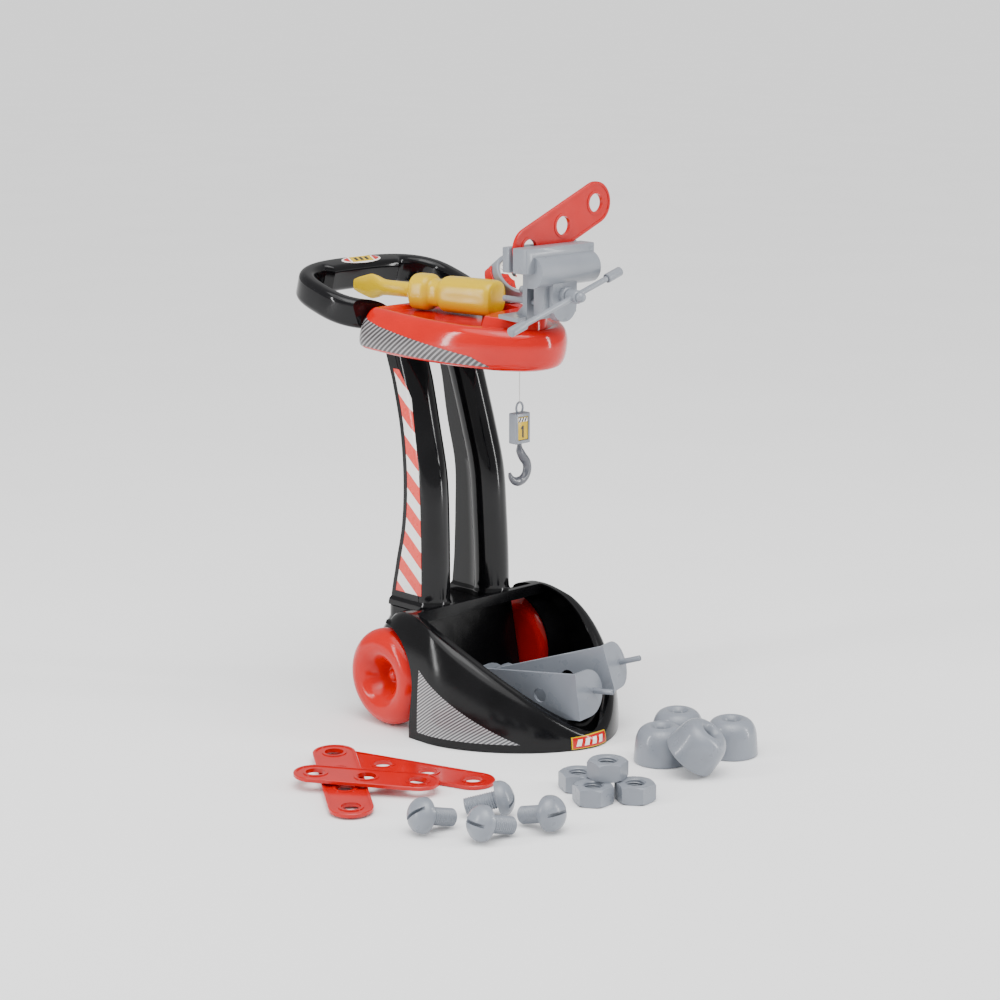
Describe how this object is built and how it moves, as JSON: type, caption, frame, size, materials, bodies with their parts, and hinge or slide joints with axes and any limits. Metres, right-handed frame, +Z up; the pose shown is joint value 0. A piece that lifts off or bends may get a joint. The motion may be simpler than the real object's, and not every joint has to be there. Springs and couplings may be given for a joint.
{
  "type": "toy workbench",
  "caption": "Toy mechanic's trolley with a tool bin, two big wheels, twin columns, a tool tray with vice, gauge and handle ring, a crane hook, a screwdriver and loose construction pieces.",
  "frame": {"origin": "on the floor in the trolley's middle plane, under the rib that carries the axle", "axes": "+Z up, the nose of the trolley points to -Y and the handle ring to +Y, +X runs across the trolley to its right as seen from behind the handle"},
  "size_m": [0.4373, 0.5229, 0.5497],
  "materials": {
    "black_base": "moulded black plastic, glossy, with a woven carbon-look panel on the sides",
    "black_column": "moulded black plastic, high gloss",
    "black_cover": "moulded black plastic, plain",
    "red_plastic": "moulded red plastic, glossy",
    "red_wheel": "blow-moulded red plastic, glossy",
    "red_strip": "moulded red plastic, soft gloss",
    "red_label": "printed plastic label",
    "yellow_plastic": "moulded yellow plastic, glossy",
    "yellow_badge": "printed yellow label",
    "silver_plastic": "moulded blue-grey plastic, satin",
    "grey_plastic": "moulded blue-grey plastic, satin",
    "dark_grey_plastic": "moulded dark grey plastic, satin",
    "cream_dial": "printed paper dial",
    "white_string": "twisted white string",
    "steel": "plain steel"
  },
  "bodies": {
    "trolley": {"base_bin": "black_base", "label_plate": "red_label", "axle": "steel", "axle_cap_left": "red_plastic", "axle_cap_right": "red_plastic", "column_left": "black_column", "column_right": "black_column", "foot_screw_left": "steel", "foot_screw_right": "steel", "head_screw_left": "steel", "head_screw_right": "steel", "tray": "red_plastic", "tray_cover": "black_cover", "handle_ring": "black_column", "handle_badge": "yellow_badge", "vice_fixed_jaw": "silver_plastic", "gauge_drum": "silver_plastic", "gauge_dial": "cream_dial", "gauge_cradle": "red_plastic"},
    "wheel_left": {"wheel_left": "red_wheel"},
    "wheel_right": {"wheel_right": "red_wheel"},
    "sliding_jaw": {"vice_sliding_jaw": "silver_plastic"},
    "vice_screw": {"vice_screw": "silver_plastic"},
    "vice_bar": {"vice_bar": "silver_plastic", "bar_cap_lower": "silver_plastic", "bar_cap_upper": "silver_plastic"},
    "clamped_strip": {"clamped_strip": "red_strip"},
    "screwdriver": {"screwdriver": "yellow_plastic"},
    "hook_block": {"hook_string": "white_string", "hook_block": "dark_grey_plastic", "block_label": "yellow_badge"},
    "hook": {"hook": "dark_grey_plastic"},
    "beam_front": {"beam_front": "grey_plastic"},
    "beam_rear": {"beam_rear": "grey_plastic"},
    "strip_low": {"strip_low": "red_strip"},
    "strip_middle": {"strip_middle": "red_strip"},
    "strip_top": {"strip_top": "red_strip"},
    "bolt_left": {"bolt_left": "grey_plastic"},
    "bolt_back": {"bolt_back": "grey_plastic"},
    "bolt_front": {"bolt_front": "grey_plastic"},
    "bolt_right": {"bolt_right": "grey_plastic"},
    "nut_front": {"nut_front": "grey_plastic"},
    "nut_right": {"nut_right": "grey_plastic"},
    "nut_back": {"nut_back": "grey_plastic"},
    "nut_top": {"nut_top": "grey_plastic"},
    "small_wheel_left": {"small_wheel_left": "grey_plastic"},
    "small_wheel_back": {"small_wheel_back": "grey_plastic"},
    "small_wheel_right": {"small_wheel_right": "grey_plastic"},
    "small_wheel_leaning": {"small_wheel_leaning": "grey_plastic"}
  },
  "joints": [
    {"name": "wheel_left_spin", "type": "hinge", "parent": "trolley", "child": "wheel_left", "pos_m": [-0.0965, -0.005, 0.05], "axis": [1, 0, 0], "continuous": true},
    {"name": "wheel_right_spin", "type": "hinge", "parent": "trolley", "child": "wheel_right", "pos_m": [0.0965, -0.005, 0.05], "axis": [1, 0, 0], "continuous": true},
    {"name": "jaw_slide", "type": "slide", "parent": "trolley", "child": "sliding_jaw", "axis": [0, -1, 0], "range_m": [0, 0.028]},
    {"name": "screw_turn", "type": "hinge", "parent": "sliding_jaw", "child": "vice_screw", "pos_m": [0, -0.17, 0.446], "axis": [0, -1, 0], "range_deg": [0, 2016]},
    {"name": "bar_slide", "type": "slide", "parent": "vice_screw", "child": "vice_bar", "axis": [0.9573, 0, 0.289], "range_m": [-0.039, 0.063]},
    {"name": "clamped_strip_lift", "type": "slide", "parent": "trolley", "child": "clamped_strip", "axis": [0, 0, 1], "range_m": [0, 0.06]},
    {"name": "screwdriver_lift", "type": "slide", "parent": "trolley", "child": "screwdriver", "axis": [-0.2425, 0, 0.9701], "range_m": [0, 0.1]},
    {"name": "hook_swing", "type": "hinge", "parent": "trolley", "child": "hook_block", "pos_m": [0, -0.0945, 0.3706], "axis": [1, 0, 0], "range_deg": [-35, 35]},
    {"name": "hook_swivel", "type": "hinge", "parent": "hook_block", "child": "hook", "pos_m": [0, -0.0945, 0.2915], "axis": [0, 0, 1], "continuous": true},
    {"name": "beam_front_lift", "type": "slide", "parent": "trolley", "child": "beam_front", "axis": [-0.4364, 0.2182, 0.8729], "range_m": [0, 0.06]},
    {"name": "beam_rear_lift", "type": "slide", "parent": "trolley", "child": "beam_rear", "axis": [0, 0, 1], "range_m": [0, 0.1]},
    {"name": "strip_low_slide", "type": "slide", "parent": "trolley", "child": "strip_low", "axis": [0.3173, -0.9483, 0], "range_m": [0, 0.03]},
    {"name": "strip_middle_slide", "type": "slide", "parent": "trolley", "child": "strip_middle", "axis": [0.5634, 0.8258, 0.0244], "range_m": [0, 0.03]},
    {"name": "strip_top_lift", "type": "slide", "parent": "trolley", "child": "strip_top", "axis": [0, 0, 1], "range_m": [0, 0.06]},
    {"name": "bolt_left_lift", "type": "slide", "parent": "trolley", "child": "bolt_left", "axis": [0, 0, 1], "range_m": [0, 0.06]},
    {"name": "bolt_back_lift", "type": "slide", "parent": "trolley", "child": "bolt_back", "axis": [0, 0, 1], "range_m": [0, 0.06]},
    {"name": "bolt_front_lift", "type": "slide", "parent": "trolley", "child": "bolt_front", "axis": [0, 0, 1], "range_m": [0, 0.06]},
    {"name": "bolt_right_lift", "type": "slide", "parent": "trolley", "child": "bolt_right", "axis": [0, 0, 1], "range_m": [0, 0.06]},
    {"name": "nut_front_slide", "type": "slide", "parent": "trolley", "child": "nut_front", "axis": [-1, 0, 0], "range_m": [0, 0.03]},
    {"name": "nut_right_slide", "type": "slide", "parent": "trolley", "child": "nut_right", "axis": [1, 0, 0], "range_m": [0, 0.03]},
    {"name": "nut_back_slide", "type": "slide", "parent": "trolley", "child": "nut_back", "axis": [0, 1, 0], "range_m": [0, 0.03]},
    {"name": "nut_top_lift", "type": "slide", "parent": "trolley", "child": "nut_top", "axis": [0, 0, 1], "range_m": [0, 0.06]},
    {"name": "small_wheel_left_slide", "type": "slide", "parent": "trolley", "child": "small_wheel_left", "axis": [-0.8944, 0.4472, 0], "range_m": [0, 0.03]},
    {"name": "small_wheel_back_lift", "type": "slide", "parent": "trolley", "child": "small_wheel_back", "axis": [0, 0, 1], "range_m": [0, 0.06]},
    {"name": "small_wheel_right_lift", "type": "slide", "parent": "trolley", "child": "small_wheel_right", "axis": [0, 0, 1], "range_m": [0, 0.06]},
    {"name": "small_wheel_leaning_lift", "type": "slide", "parent": "trolley", "child": "small_wheel_leaning", "axis": [0, 0, 1], "range_m": [0, 0.06]}
  ],
  "couplings": [
    {"joint": "jaw_slide", "follows": "screw_turn", "m_per_rad": 0.00079577}
  ]
}
